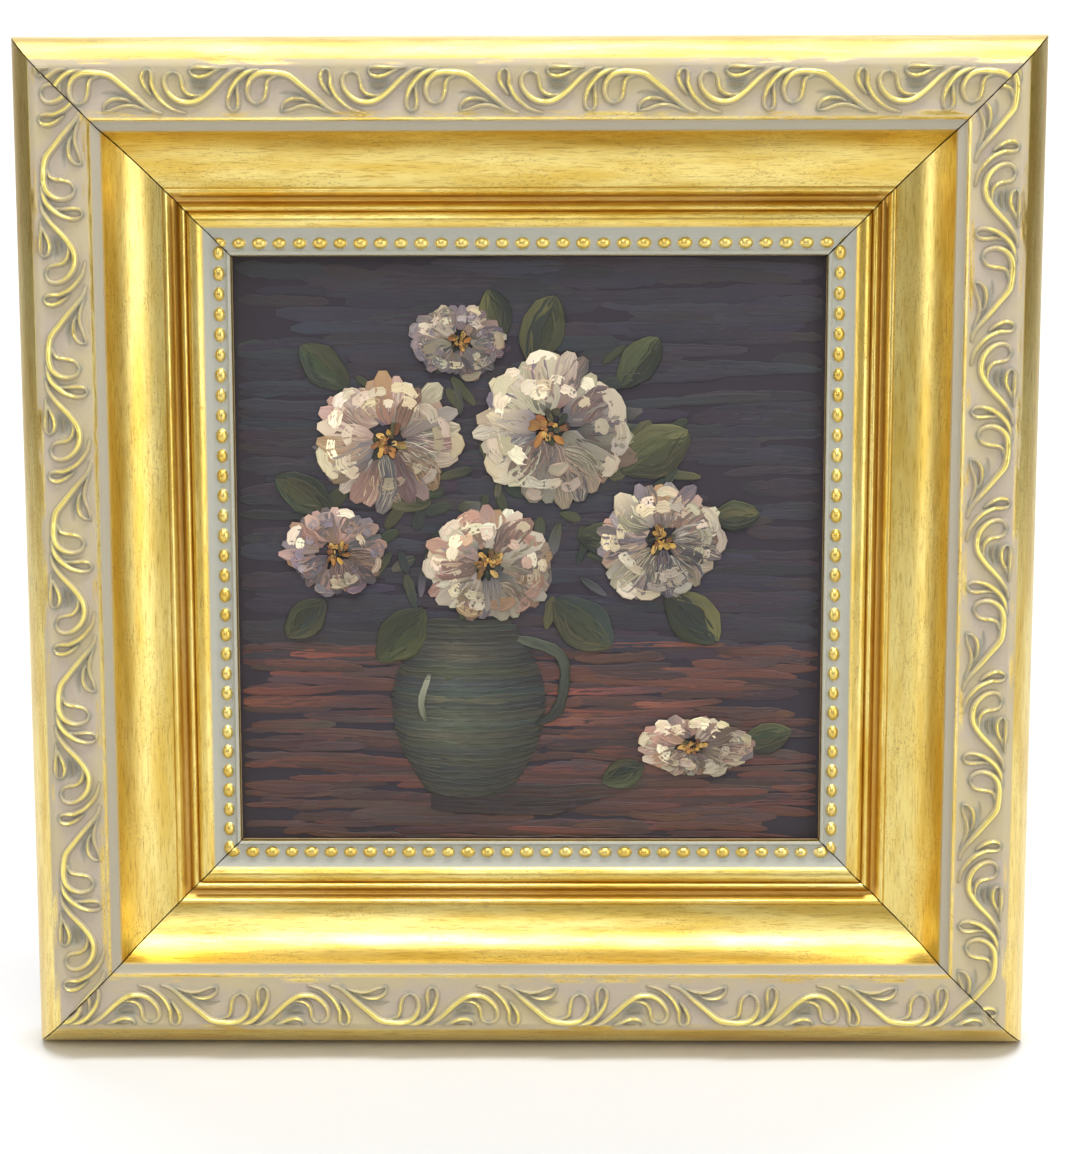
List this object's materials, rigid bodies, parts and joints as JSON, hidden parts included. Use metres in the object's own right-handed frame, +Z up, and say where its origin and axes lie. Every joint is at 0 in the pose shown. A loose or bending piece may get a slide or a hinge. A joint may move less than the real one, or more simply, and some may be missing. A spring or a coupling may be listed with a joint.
{
  "type": "framed oil painting",
  "caption": "Small square oil painting on board in a mitred gilt frame with running scrolls and a row of pearls, hung by a toothed plate.",
  "frame": {"origin": "middle of the hanging plate's back face, where it rests on the wall", "axes": "+Z up the wall, +X to the right seen from the front, +Y back into the wall; the picture looks along -Y"},
  "size_m": [0.246, 0.0318, 0.246],
  "materials": {
    "gilt_moulding": "gold leaf, rubbed and speckled, with a grey-beige wash over the carved band and the pearl band; bare wood at the back",
    "oil_paint": "thick oil paint in dark violet, russet, cream and olive on hardboard, satin",
    "hanger_steel": "thin stamped steel with a yellow plated finish"
  },
  "bodies": {
    "root": {"rail_top": "gilt_moulding", "rail_right": "gilt_moulding", "rail_bottom": "gilt_moulding", "rail_left": "gilt_moulding", "painting_board": "oil_paint", "hanger_plate": "hanger_steel"}
  },
  "joints": []
}
